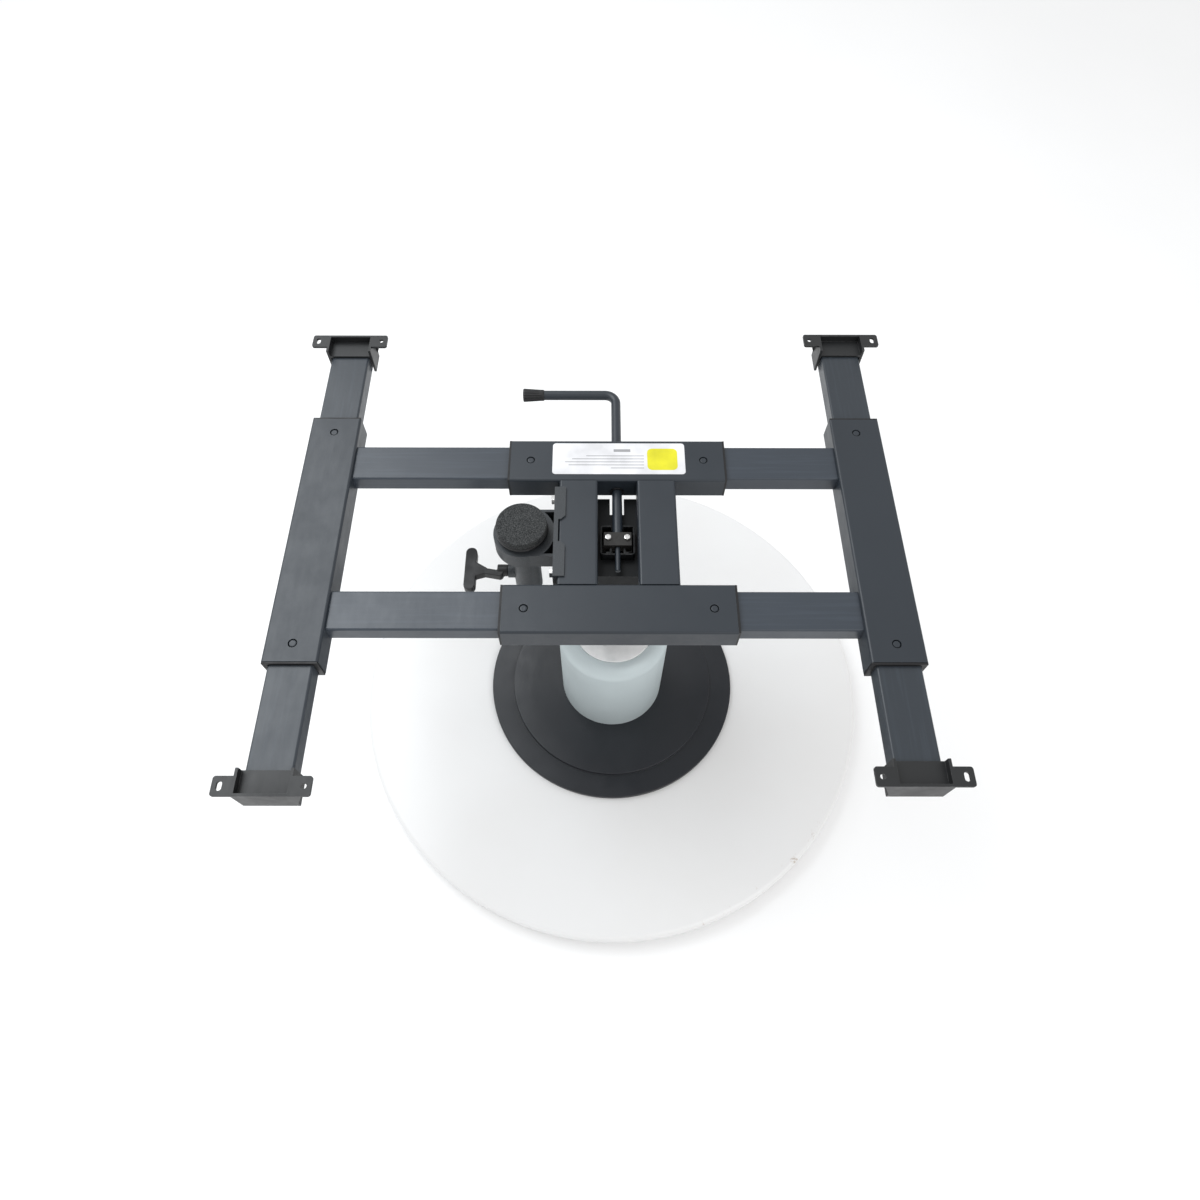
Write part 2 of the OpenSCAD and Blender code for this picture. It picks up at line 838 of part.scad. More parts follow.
// Casting that carries the guide tube, with two open pockets behind its ring
module clamp_collar() {
    plate_reach = side_plate_x - side_plate_t + support_x;
    pocket_w = collar_half_w - collar_wall - collar_web / 2;
    color([0.24, 0.25, 0.27]) translate([-support_x, support_y, collar_top - collar_h])
        difference() {
            union() {
                cylinder(d = collar_d, h = collar_h);
                translate([0, -collar_half_w, 0])
                    cube([plate_reach, 2 * collar_half_w, collar_h]);
                translate([0, 0, -guide_l]) cylinder(d = guide_d, h = guide_l + 1);
                translate([-guide_d / 2 - boss_l, 0, clamp_z - collar_top + collar_h])
                    rotate([0, 90, 0]) cylinder(d = boss_d, h = guide_d / 2);
            }
            difference() {
                for (s = [0, 1]) mirror([0, s, 0])
                    translate([0, collar_web / 2, collar_floor])
                    cube([plate_reach + 1, pocket_w, collar_h]);
                cylinder(r = pocket_r, h = 3 * collar_h);
            }
            translate([0, 0, -guide_l - 1]) cylinder(d = collar_bore, h = 2 * guide_l);
            translate([-collar_d, 0, clamp_z - collar_top + collar_h]) rotate([0, 90, 0])
                cylinder(d = clamp_screw_d + 2 * run_gap, h = collar_d);
        }
}

module support_post() {
    tube_in = support_d - 4;
    color([0.5, 0.52, 0.54])
        translate([-support_x, support_y, pad_top - pad_t - cup_h - support_l]) difference() {
            cylinder(d = support_d, h = support_l);
            translate([0, 0, -1]) cylinder(d = tube_in, h = support_l - 4);
        }
}

module pad_cup() {
    chamfer_h = cup_h / 2;
    color([0.07, 0.07, 0.07])
        translate([-support_x, support_y, pad_top - pad_t - cup_h]) {
            cylinder(d1 = cup_d - 8, d2 = cup_d, h = chamfer_h);
            translate([0, 0, chamfer_h]) cylinder(d = cup_d, h = cup_h - chamfer_h);
        }
}

module support_pad() {
    color([0.25, 0.26, 0.26])
        translate([-support_x, support_y, pad_top - pad_t]) rotate_extrude() {
            square([pad_d / 2 - pad_edge_r, pad_t]);
            square([pad_d / 2, pad_t - pad_edge_r]);
            translate([pad_d / 2 - pad_edge_r, pad_t - pad_edge_r])
                circle(r = pad_edge_r, $fn = small_fn);
        }
}

module clamp_screw() {
    tip_x = -support_x - support_d / 2 - handle_gap;
    root_x = clamp_x - handle_gap - thread_l;
    color("silver") translate([root_x, support_y, clamp_z]) rotate([0, 90, 0])
        cylinder(d = clamp_screw_d, h = tip_x - root_x);
}

// Flat bar with round ends, from point a to point b
module rounded_bar(a, b, w) {
    along = b - a;
    translate(a) rotate(atan2(along.y, along.x)) {
        translate([0, -w / 2]) square([norm(along), w]);
        circle(d = w, $fn = small_fn);
        translate([norm(along), 0]) circle(d = w, $fn = small_fn);
    }
}

// T-handle with a bent stem; its hub's foot is at x = 0 and it points along -X
module clamp_handle() {
    bar_y = (handle_bar_l - handle_bar_w) / 2;
    elbow = [-handle_hub_l + 3, -handle_bend];
    crown = [-handle_reach, 0];
    color([0.08, 0.08, 0.08]) translate([clamp_x - handle_gap, support_y, clamp_z])
        difference() {
            union() {
                rotate([0, -90, 0]) cylinder(d = handle_hub_d, h = handle_hub_l);
                linear_extrude(handle_t, center = true) {
                    rounded_bar([crown.x, -bar_y], [crown.x, bar_y], handle_bar_w);
                    rounded_bar([-handle_hub_l / 2, 0], elbow, handle_arm_w);
                    rounded_bar(elbow, crown, handle_arm_w);
                    polygon([[crown.x + handle_web_w - 6, -handle_arm_w / 2 - 3],
                        [crown.x + handle_web_w - 6, 1], [crown.x, handle_web_w / 2],
                        [crown.x, -handle_web_w / 2]]);
                }
            }
            translate([1, 0, 0]) rotate([0, -90, 0])
                cylinder(d = clamp_screw_d, h = thread_l + 1);
        }
}

base_disc();
floor_pad();
base_plate();
base_bolts();
flange_cover();
column_cover();
column_cap();
outer_post();
guide_bush();
gas_rod();
gas_piston();
inner_post();
pivot_tabs();
head_plate();
head_bolts();
gas_tube();
gas_clamp();
front_crossbar();
back_crossbar();
left_beam();
right_beam();
crossbar_liners();
crossbar_screws();
rating_label();
lever_bushes();
lever_rod();
lever_grip();
release_block();
block_bolts();
valve_pin();
left_front_arm();
left_back_arm();
left_rail();
left_rail_liners();
left_rail_screws();
right_front_arm();
right_back_arm();
right_rail();
right_rail_liners();
right_rail_screws();
front_left_slide();
front_left_bracket();
back_left_slide();
back_left_bracket();
front_right_slide();
front_right_bracket();
back_right_slide();
back_right_bracket();
clamp_side_plate();
clamp_collar();
clamp_plate_bolts();
support_post();
pad_cup();
support_pad();
clamp_screw();
clamp_handle();
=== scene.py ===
"""Looks of the pedestal stand: materials, detailed pieces, floor, lights and camera.

Lengths are metres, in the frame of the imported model: X along the crossbars, Y to the
back, Z up, with the origin on the floor under the column.
"""
import json
import math

import bmesh
import bpy
from mathutils import Matrix, Vector, noise

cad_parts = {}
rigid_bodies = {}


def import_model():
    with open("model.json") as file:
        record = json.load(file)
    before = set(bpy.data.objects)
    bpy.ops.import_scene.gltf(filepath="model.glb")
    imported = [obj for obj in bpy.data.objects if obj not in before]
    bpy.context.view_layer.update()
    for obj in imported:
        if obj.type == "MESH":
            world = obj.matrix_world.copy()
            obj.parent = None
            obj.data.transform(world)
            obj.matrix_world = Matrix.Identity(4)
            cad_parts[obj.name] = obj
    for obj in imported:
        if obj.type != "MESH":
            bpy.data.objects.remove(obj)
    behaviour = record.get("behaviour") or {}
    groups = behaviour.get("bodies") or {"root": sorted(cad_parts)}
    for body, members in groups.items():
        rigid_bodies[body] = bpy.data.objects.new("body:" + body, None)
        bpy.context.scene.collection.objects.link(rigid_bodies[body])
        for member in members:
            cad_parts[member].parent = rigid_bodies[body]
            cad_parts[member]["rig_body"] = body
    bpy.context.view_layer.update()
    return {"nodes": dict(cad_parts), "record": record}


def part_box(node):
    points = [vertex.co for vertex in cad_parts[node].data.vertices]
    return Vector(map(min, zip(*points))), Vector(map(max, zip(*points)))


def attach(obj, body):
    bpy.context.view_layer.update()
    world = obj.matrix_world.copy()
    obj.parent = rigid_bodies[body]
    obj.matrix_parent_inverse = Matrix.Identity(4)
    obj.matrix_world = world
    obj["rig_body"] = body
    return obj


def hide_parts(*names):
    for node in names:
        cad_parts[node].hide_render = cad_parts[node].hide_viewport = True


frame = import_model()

MM = 0.001
TAU = 2 * math.pi
# Attribute name of the edge mask: rubbed edges, and a painted highlight along them.
WEAR_AND_EDGE_HIGHLIGHT = "wear_and_edge_highlight"


# ---------------------------------------------------------------- node materials

class Shader:
    """A Principled material and short ways to add the nodes that feed it."""

    def __init__(self, name, roughness=0.5, metallic=0.0, specular=0.5):
        self.material = bpy.data.materials.new(name)
        self.material.use_nodes = True
        self.tree = self.material.node_tree
        self.bsdf = self.tree.nodes["Principled BSDF"]
        self.bsdf.inputs["Roughness"].default_value = roughness
        self.bsdf.inputs["Metallic"].default_value = metallic
        self.bsdf.inputs["Specular IOR Level"].default_value = specular
        self.coords = self.tree.nodes.new("ShaderNodeTexCoord").outputs["Object"]

    def node(self, kind, **values):
        made = self.tree.nodes.new(kind)
        for key, value in values.items():
            setattr(made, key, value)
        return made

    def link(self, source, target):
        self.tree.links.new(source, target)

    def stretched(self, scale):
        """Object coordinates scaled differently along each axis."""
        mapping = self.node("ShaderNodeMapping")
        mapping.inputs["Scale"].default_value = scale
        self.link(self.coords, mapping.inputs["Vector"])
        return mapping.outputs["Vector"]

    def noise(self, scale, detail=3.0, rough=0.5, vector=None, distortion=0.0):
        made = self.node("ShaderNodeTexNoise")
        made.inputs["Scale"].default_value = scale
        made.inputs["Detail"].default_value = detail
        made.inputs["Roughness"].default_value = rough
        made.inputs["Distortion"].default_value = distortion
        self.link(vector or self.coords, made.inputs["Vector"])
        return made.outputs["Fac"]

    def band(self, value, low, high, out_low=0.0, out_high=1.0):
        """Maps low..high to out_low..out_high, clamped."""
        made = self.node("ShaderNodeMapRange")
        for socket, number in zip(("From Min", "From Max", "To Min", "To Max"),
                                  (low, high, out_low, out_high)):
            made.inputs[socket].default_value = number
        self.link(value, made.inputs["Value"])
        return made.outputs["Result"]

    def math(self, operation, a, b):
        made = self.node("ShaderNodeMath", operation=operation)
        for socket, value in zip(made.inputs, (a, b)):
            if isinstance(value, (int, float)):
                socket.default_value = value
            else:
                self.link(value, socket)
        return made.outputs["Value"]

    def mix(self, factor, a, b):
        """Colour a where factor is 0 and b where it is 1."""
        made = self.node("ShaderNodeMix", data_type="RGBA")
        self.link(factor, made.inputs["Factor"])
        for index, value in ((6, a), (7, b)):
            if isinstance(value, tuple):
                made.inputs[index].default_value = (*value, 1.0)
            else:
                self.link(value, made.inputs[index])
        return made.outputs[2]

    # Edge mask of rubbed paint that also paints a highlight along the edges.
    def wear_and_edge_highlight(self):
        """1 on the rounded edges that refine marks, 0 elsewhere."""
        return self.node("ShaderNodeAttribute", attribute_name=WEAR_AND_EDGE_HIGHLIGHT).outputs["Fac"]

    def colour(self, source):
        self.link(source, self.bsdf.inputs["Base Color"])

    def roughness(self, source):
        self.link(source, self.bsdf.inputs["Roughness"])

    def bump(self, height, strength, distance):
        made = self.node("ShaderNodeBump")
        made.inputs["Strength"].default_value = strength
        made.inputs["Distance"].default_value = distance
        self.link(height, made.inputs["Height"])
        self.link(made.outputs["Normal"], self.bsdf.inputs["Normal"])


def shade(colour, factor):
    return tuple(min(1.0, channel * factor) for channel in colour)


def powder_coat(name, colour, roughness=0.42, wear_and_edge_highlight=0.10, grain=1300.0, streak=None,
                speckle=0.0, depth=0.22, specular=0.5):
    """Satin powder coat: orange-peel grain, faint tone, rubbed edges with a painted
    highlight, handling marks.

    grain is the scale of the orange peel and depth its strength. wear is the grey of
    the rubbed edges, and also of the highlight painted along them. streak is the scale
    along each axis of lengthwise drawing marks, and speckle the strength of a pale
    casting grain.
    """
    s = Shader(name, specular=specular)
    tone = s.mix(s.band(s.noise(5.0, 3.0), 0.3, 0.7), shade(colour, 0.93),
                 shade(colour, 1.07))
    dust = s.band(s.noise(700.0, 2.0, 0.7), 0.64, 0.80, 0.0, 0.25)
    tone = s.mix(dust, tone, shade(colour, 1.9))
    if streak:
        lines = s.noise(1.0, 3.0, 0.6, s.stretched(streak))
        tone = s.mix(s.band(lines, 0.50, 0.72, 0.0, 0.6), tone, shade(colour, 1.4))
    if speckle:
        grit = s.band(s.noise(850.0, 3.0, 0.8), 0.50, 0.66, 0.0, speckle)
        tone = s.mix(grit, tone, shade(colour, 2.6))
    patchy = s.band(s.noise(210.0, 4.0, 0.65), 0.44, 0.64)
    # Edges lightened to a paler grey: rubbed paint, and a painted highlight along them.
    rubbed_and_highlit = s.math("MULTIPLY", s.wear_and_edge_highlight(), s.math("MULTIPLY", patchy, 0.7))
    s.colour(s.mix(rubbed_and_highlit, tone, (wear_and_edge_highlight, wear_and_edge_highlight, wear_and_edge_highlight)))
    marks = s.noise(1.0, 3.0, 0.6, s.stretched((160.0, 30.0, 160.0)))
    spots = s.math("ADD", s.noise(26.0, 4.0, 0.6), s.math("MULTIPLY", marks, 0.5))
    s.roughness(s.band(spots, 0.55, 0.95, roughness - 0.05, roughness + 0.06))
    s.bump(s.noise(grain, 2.0, 0.5), depth, 0.00012)
    return s.material


def turned_metal(name, colour, roughness, metallic=1.0):
    """Bare or plated metal with fine turning marks round Z and dull spots."""
    s = Shader(name, metallic=metallic)
    spots = s.noise(220.0, 4.0, 0.65)
    s.colour(s.mix(s.band(spots, 0.42, 0.66), colour, shade(colour, 0.78)))
    marks = s.noise(1.0, 2.0, 0.5, s.stretched((60.0, 60.0, 1500.0)))
    s.roughness(s.band(s.math("ADD", spots, marks), 0.7, 1.3, roughness - 0.07,
                       roughness + 0.12))
    s.bump(marks, 0.15, 0.00008)
    return s.material


def moulded_plastic(name, colour, roughness=0.5, grain=1800.0):
    """Nylon or ABS with a fine spark-eroded grain and handled, glossier spots."""
    s = Shader(name, specular=0.45)
    tone = s.mix(s.band(s.noise(35.0, 3.0), 0.35, 0.65), shade(colour, 0.9),
                 shade(colour, 1.12))
    # Paler edges from the edge mask: rubbed plastic, and a painted highlight along them.
    s.colour(s.mix(s.math("MULTIPLY", s.wear_and_edge_highlight(), 0.25), tone, shade(colour, 2.2)))
    s.roughness(s.band(s.noise(60.0, 3.0), 0.35, 0.65, roughness - 0.1, roughness + 0.1))
    s.bump(s.noise(grain, 3.0, 0.6), 0.3, 0.0001)
    return s.material


def sheet_rubber(name, colour, flecks=0.0):
    """Matt rubber: pitted, with pale flecks where flecks is above 0."""
    fleck = (0.10, 0.105, 0.105)
    s = Shader(name, specular=0.3)
    tone = s.mix(s.band(s.noise(40.0, 3.0), 0.35, 0.65), shade(colour, 0.85),
                 shade(colour, 1.2))
    coarse = s.band(s.noise(900.0, 3.0, 0.8), 0.48, 0.60, 0.0, flecks)
    tone = s.mix(coarse, tone, fleck)
    fine = s.band(s.noise(1500.0, 2.0, 0.8), 0.60, 0.70, 0.0, flecks)
    s.colour(s.mix(fine, tone, shade(fleck, 2.6)))
    s.roughness(s.band(s.noise(300.0, 3.0), 0.3, 0.7, 0.72, 0.92))
    s.bump(s.noise(700.0, 4.0, 0.7), 0.6, 0.0003)
    return s.material


def laminate_white(name):
    """White disc: faint clouding, hair scratches, and brown scuffs by the rim."""
    s = Shader(name, specular=0.5)
    white, warm, scuff = (0.80, 0.80, 0.80), (0.775, 0.77, 0.765), (0.40, 0.31, 0.24)
    rim_from, rim_full = 374 * MM, 386 * MM
    tone = s.mix(s.band(s.noise(4.0, 4.0), 0.4, 0.7), white, warm)
    split = s.node("ShaderNodeSeparateXYZ")
    s.link(s.coords, split.inputs["Vector"])
    x, y = split.outputs["X"], split.outputs["Y"]
    squares = s.math("ADD", s.math("MULTIPLY", x, x), s.math("MULTIPLY", y, y))
    near_rim = s.band(s.math("SQRT", squares, 0.0), rim_from, rim_full)
    front_right = s.math("MULTIPLY", s.band(x, 0.05, 0.22), s.band(y, -0.05, -0.25))
    marks = s.band(s.noise(70.0, 5.0, 0.75, distortion=0.4), 0.60, 0.68)
    worn = s.math("MULTIPLY", s.math("MULTIPLY", near_rim, front_right), marks)
    specks = s.band(s.noise(190.0, 3.0, 0.8), 0.72, 0.78, 0.0, 0.4)
    worn = s.math("MAXIMUM", worn, s.math("MULTIPLY", specks, near_rim))
    s.colour(s.mix(worn, tone, scuff))
    hair = s.noise(1.0, 2.0, 0.6, s.stretched((900.0, 25.0, 25.0)))
    s.roughness(s.band(hair, 0.35, 0.7, 0.30, 0.42))
    s.bump(s.noise(260.0, 3.0), 0.05, 0.0001)
    return s.material


def silver_paint(name, colour):
    """Pale blue-grey silver paint with fine flake."""
    s = Shader(name, metallic=0.25, specular=0.5)
    flake = s.noise(2600.0, 1.0, 0.5)
    tone = s.mix(s.band(flake, 0.35, 0.65), shade(colour, 0.95), shade(colour, 1.05))
    smear = s.band(s.noise(1.0, 3.0, 0.5, s.stretched((40.0, 40.0, 6.0))), 0.45, 0.8,
                   0.0, 0.4)
    s.colour(s.mix(smear, tone, shade(colour, 0.93)))
    s.roughness(s.band(s.noise(25.0, 4.0), 0.3, 0.7, 0.46, 0.58))
    s.bump(flake, 0.06, 0.00005)
    return s.material


MATERIALS = {
    "disc_white": laminate_white("disc_white"),
    "pad_rubber": sheet_rubber("pad_rubber", (0.03, 0.03, 0.03)),
    "flange_black": powder_coat("flange_black", (0.008, 0.010, 0.014), 0.38,
                                grain=1700.0),
    "column_silver": silver_paint("column_silver", (0.56, 0.63, 0.645)),
    "cap_pale": moulded_plastic("cap_pale", (0.90, 0.91, 0.91), 0.5),
    # A paler edge grey here also paints the highlight along the post's rim.
    "post_black": powder_coat("post_black", (0.007, 0.008, 0.009), 0.48, wear_and_edge_highlight=0.14,
                              specular=0.22),
    "frame_grey": powder_coat("frame_grey", (0.019, 0.025, 0.033), 0.40),
    "arm_grey": powder_coat("arm_grey", (0.034, 0.043, 0.056), 0.34,
                            streak=(9.0, 260.0, 260.0)),
    "slide_grey": powder_coat("slide_grey", (0.026, 0.033, 0.042), 0.36,
                              streak=(260.0, 9.0, 260.0)),
    "bracket_black": powder_coat("bracket_black", (0.011, 0.012, 0.013), 0.44),
    "zinc": turned_metal("zinc", (0.80, 0.80, 0.79), 0.24),
    "steel_dark": turned_metal("steel_dark", (0.024, 0.023, 0.022), 0.5, 0.3),
    "screw_black": turned_metal("screw_black", (0.05, 0.052, 0.055), 0.45, 0.6),
    "bush_black": moulded_plastic("bush_black", (0.006, 0.006, 0.007), 0.5),
    "grip_black": moulded_plastic("grip_black", (0.009, 0.009, 0.010), 0.44),
    "label_white": moulded_plastic("label_white", (0.70, 0.70, 0.72), 0.42, 600.0),
    "label_ink": moulded_plastic("label_ink", (0.30, 0.30, 0.31), 0.42, 600.0),
    "label_yellow": moulded_plastic("label_yellow", (0.66, 0.62, 0.015), 0.42, 600.0),
    "collar_grey": powder_coat("collar_grey", (0.026, 0.030, 0.034), 0.46, wear_and_edge_highlight=0.16,
                               grain=620.0, speckle=0.6, depth=0.6),
    "tube_grey": powder_coat("tube_grey", (0.05, 0.056, 0.06), 0.40),
    "pad_top": sheet_rubber("pad_top", (0.011, 0.012, 0.013), flecks=0.65),
}

NODE_SLOTS = {row["node"]: row["material_slot"] for row in frame["record"]["subparts"]}


def paint(piece, slot, material=None):
    """Gives a piece its record slot, and that slot's material unless another is named."""
    piece.data.materials.clear()
    piece.data.materials.append(MATERIALS[material or slot])
    return piece


# ---------------------------------------------------------------- mesh helpers

def finish_mesh(name, bm, sharp_degrees=35.0):
    """A new object from bm, smooth except across edges sharper than sharp_degrees."""
    bmesh.ops.recalc_face_normals(bm, faces=bm.faces)
    for face in bm.faces:
        face.smooth = True
    for edge in bm.edges:
        if len(edge.link_faces) == 2:
            edge.smooth = edge.calc_face_angle(0.0) < math.radians(sharp_degrees)
    mesh = bpy.data.meshes.new(name)
    bm.to_mesh(mesh)
    bm.free()
    piece = bpy.data.objects.new(name, mesh)
    bpy.context.scene.collection.objects.link(piece)
    return piece


def bake_modifiers(piece):
    """Applies the modifiers of a piece to its mesh."""
    bpy.context.view_layer.update()
    graph = bpy.context.evaluated_depsgraph_get()
    mesh = bpy.data.meshes.new_from_object(piece.evaluated_get(graph))
    piece.modifiers.clear()
    piece.data = mesh
    return piece


def cad_mesh(node):
    """A bmesh of a CAD node with its doubled corners merged."""
    bm = bmesh.new()
    bm.from_mesh(frame["nodes"][node].data)
    bmesh.ops.remove_doubles(bm, verts=bm.verts, dist=1e-6)
    return bm


def refine(node, width, segments=2):
    """The shape of a CAD node with its outside edges rounded and marked for rubbed paint
    and a painted highlight.
    """
    bm = cad_mesh(node)
    bmesh.ops.dissolve_limit(bm, angle_limit=math.radians(0.8), verts=bm.verts,
                             edges=bm.edges)
    sharp = [e for e in bm.edges if len(e.link_faces) == 2
             and e.calc_face_angle(0.0) > math.radians(32)]
    # Mask of the rounded edges: rubbed paint, and a painted highlight along them.
    worn = bm.faces.layers.float.new(WEAR_AND_EDGE_HIGHLIGHT)
    rounded = bmesh.ops.bevel(bm, geom=sharp, offset=width, segments=segments,
                              profile=0.5, affect="EDGES", clamp_overlap=True)
    for face in rounded["faces"]:
        face[worn] = 1.0
    piece = finish_mesh(node + "_body", bm, 50.0)
    weighted = piece.modifiers.new("weighted", "WEIGHTED_NORMAL")
    weighted.keep_sharp = True
    return bake_modifiers(piece)


def place(piece, node, material=None):
    """Puts a piece in the place of a CAD node, on that node's body and slot."""
    body = frame["nodes"][node]["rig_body"]
    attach(piece, body)
    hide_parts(node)
    return paint(piece, NODE_SLOTS[node], material)


def ring(bm, radius, height, sides):
    """Corners round Z; radius and height are numbers or functions of the angle."""
    corners = []
    for i in range(sides):
        angle = TAU * i / sides
        r = radius(angle) if callable(radius) else radius
        z = height(angle) if callable(height) else height
        corners.append(bm.verts.new((r * math.cos(angle), r * math.sin(angle), z)))
    return corners


def stitch(bm, loops):
    """Four-cornered faces between each loop and the next."""
    sides = len(loops[0])
    for lower, upper in zip(loops, loops[1:]):
        for i in range(sides):
            j = (i + 1) % sides
            bm.faces.new((lower[i], lower[j], upper[j], upper[i]))


def close_ends(bm, loops):
    """One flat face at either end of a row of loops."""
    bm.faces.new(loops[0][::-1])
    bm.faces.new(loops[-1])


def ring_mesh(name, rings, sides, matrix, sharp_degrees=35.0):
    """(radius, height) rings joined from first to last, closed at both ends."""
    bm = bmesh.new()
    loops = [ring(bm, radius, height, sides) for radius, height in rings]
    stitch(bm, loops)
    close_ends(bm, loops)
    bm.transform(matrix)
    return finish_mesh(name, bm, sharp_degrees)


def arc_points(centre, radius, start, end, steps=6):
    """(radius, height) points on an arc, angles in degrees."""
    points = []
    for i in range(steps + 1):
        a = math.radians(start + (end - start) * i / steps)
        points.append((centre[0] + radius * math.cos(a),
                       centre[1] + radius * math.sin(a)))
    return points


def lathe(name, outline, sides, sharp_degrees=35.0):
    """A closed (radius, height) outline turned about Z; no point on the axis."""
    bm = bmesh.new()
    loops = [ring(bm, radius, height, sides) for radius, height in outline]
    stitch(bm, loops + loops[:1])
    return finish_mesh(name, bm, sharp_degrees)


def hex_radius(flat_to_flat):
    """Radius of a hexagon at an angle, with its corners eased."""
    half = math.radians(30)
    apothem = flat_to_flat / 2
    easing = 0.985
    corner = apothem / math.cos(half) * easing

    def radius(angle):
        local = (angle + half) % (2 * half) - half
        return min(apothem / math.cos(local), corner)
    return radius


def hex_head(name, across, height, matrix):
    """Hexagon bolt head with a chamfered, dished top, standing on z = 0 of matrix."""
    outer = hex_radius(across)
    crown = across / 2 * 0.96
    chamfer = 0.55
    dish = 0.25 * MM

    def shoulder(angle):
        return height - max(0.0, outer(angle) - crown) * chamfer

    rings = [(outer, 0.0), (outer, shoulder), (crown, height), (crown * 0.72, height),
             (crown * 0.68, height - dish)]
    return ring_mesh(name, rings, 72, matrix)


def flush_plug(name, radius, depth, matrix):
    """Flush plug with a bevelled rim and a faint dimple, its top at z = 0 of matrix."""
    bevel = 0.45 * MM
    rings = [(radius - bevel, -depth), (radius, -depth + bevel),
             (radius, -bevel), (radius - 0.2 * MM, -0.2 * MM),
             (radius - bevel, -0.15 * MM), (radius - 2 * bevel, 0.0),
             (radius * 0.5, 0.0), (radius * 0.2, -0.05 * MM)]
    return ring_mesh(name, rings, 60, matrix)


def join(name, pieces):
    """One object from several, which it uses up."""
    bm = bmesh.new()
    for piece in pieces:
        piece.data.transform(piece.matrix_world)
        bm.from_mesh(piece.data)
        bpy.data.objects.remove(piece)
    mesh = bpy.data.meshes.new(name)
    bm.to_mesh(mesh)
    bm.free()
    joined = bpy.data.objects.new(name, mesh)
    bpy.context.scene.collection.objects.link(joined)
    return joined


def at(x, y, z):
    return Matrix.Translation((x, y, z))


def measure(node):
    """Low and high corners of a CAD node's box, and its middle."""
    low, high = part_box(node)
    return low, high, (low + high) / 2


# ---------------------------------------------------------------- base

def base_disc():
    """White disc with a rounded rim, and a pinhole at its middle under the column."""
    low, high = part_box("base_disc")
    radius, edge, pinhole = high.x, 7 * MM, 2 * MM
    outline = [(pinhole, low.z), (radius - edge, low.z)]
    outline += arc_points((radius - edge, low.z + edge), edge, -90, 0)[1:]
    outline += arc_points((radius - edge, high.z - edge), edge, 0, 90, 8)
    outline += [(r, high.z) for r in (300 * MM, 200 * MM, 100 * MM, pinhole)]
    place(lathe("base_disc_top", outline, 256), "base_disc")


def flange_cover():
    """Black cover in two steps, a pressed shell with a hole for the column."""
    low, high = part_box("flange_cover")
    outer, step, hole = high.x, 156 * MM, 69.5 * MM
    rim = low.z + 7 * MM
    wall = 2 * MM
    fillet, crease = 1.3 * MM, 0.6 * MM
    flat = 120 * MM
    outline = [(hole, high.z - wall), (step - wall, high.z - wall),
               (step - wall, rim - wall), (outer - wall, rim - wall),
               (outer - wall, low.z), (outer, low.z)]
    outline += arc_points((outer - fillet, rim - fillet), fillet, 0, 90, 5)
    outline += [(step + 1.0 * MM, rim)]
    outline += arc_points((step + crease, rim + crease), crease, 270, 180, 3)
    outline += arc_points((step - fillet, high.z - fillet), fillet, 0, 90, 5)
    outline += [(flat, high.z), (hole, high.z)]
    place(lathe("flange_cover_shell", outline, 256, 50.0), "flange_cover")


def column_cover():
    """Silver cover: a thin round wall that turns in at the top over a wide shoulder."""
    low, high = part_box("column_cover")
    radius, wall, shoulder = high.x, 2 * MM, 21 * MM
    lip = radius - shoulder
    turn = (lip, high.z - shoulder)
    outline = [(radius - wall, low.z), (radius, low.z)]
    outline += arc_points(turn, shoulder, 0, 88, 14)
    outline += [(lip, high.z), (lip, high.z - wall)]
    outline += arc_points(turn, shoulder - wall, 90, 0, 12)[1:]
    place(lathe("column_cover_shell", outline, 192, 50.0), "column_cover")


def rounded_nodes():
    """CAD nodes that keep their shape and only need eased edges, widths in mm."""
    widths = {
        "column_cap": 0.5, "outer_post": 0.4, "guide_bush": 0.6, "inner_post": 0.4,
        "head_plate": 0.6, "front_crossbar": 0.35, "back_crossbar": 0.35,
        "left_beam": 0.35, "right_beam": 0.35, "left_rail": 0.35, "right_rail": 0.35,
        "crossbar_liners": 0.5, "left_rail_liners": 0.5, "right_rail_liners": 0.5,
        "left_front_arm": 0.3, "left_back_arm": 0.3, "right_front_arm": 0.3,
        "right_back_arm": 0.3, "release_block": 0.8, "clamp_collar": 1.2,
        "clamp_side_plate": 0.7, "lever_bushes": 0.4, "base_plate": 0.6,
        "gas_clamp": 0.6, "pivot_tabs": 0.3,
    }
    for corner in ("front_left", "front_right", "back_left", "back_right"):
        widths[corner + "_slide"] = 0.3
        widths[corner + "_bracket"] = 0.45
    for node, width in widths.items():
        material = "slide_grey" if node.endswith("_slide") else None
        place(refine(node, width * MM), node, material=material)


# ---------------------------------------------------------------- fasteners

def solid_boxes(node):
    """Low corner, high corner and middle of each separate solid of a CAD node."""
    bm = cad_mesh(node)
    todo = set(bm.verts)
    found = []
    while todo:
        stack = [todo.pop()]
        island = []
        while stack:
            vert = stack.pop()
            island.append(vert.co.copy())
            for edge in vert.link_edges:
                other = edge.other_vert(vert)
                if other in todo:
                    todo.discard(other)
                    stack.append(other)
        low = Vector([min(c[i] for c in island) for i in range(3)])
        high = Vector([max(c[i] for c in island) for i in range(3)])
        found.append((low, high, (low + high) / 2))
    bm.free()
    return sorted(found, key=lambda solid: tuple(round(v, 4) for v in solid[0]))


def flush_screws(node):
    """Painted plugs that leave a thin dark ring in the sleeve's top."""
    gap = 1.15 * MM
    pieces = []
    for i, (low, high, centre) in enumerate(solid_boxes(node)):
        radius = (high.x - low.x) / 2
        pieces.append(flush_plug(f"{node}_{i}", radius - gap, high.z - low.z,
                                 at(centre.x, centre.y, high.z)))
    place(join(node + "_set", pieces), node, material="frame_grey")


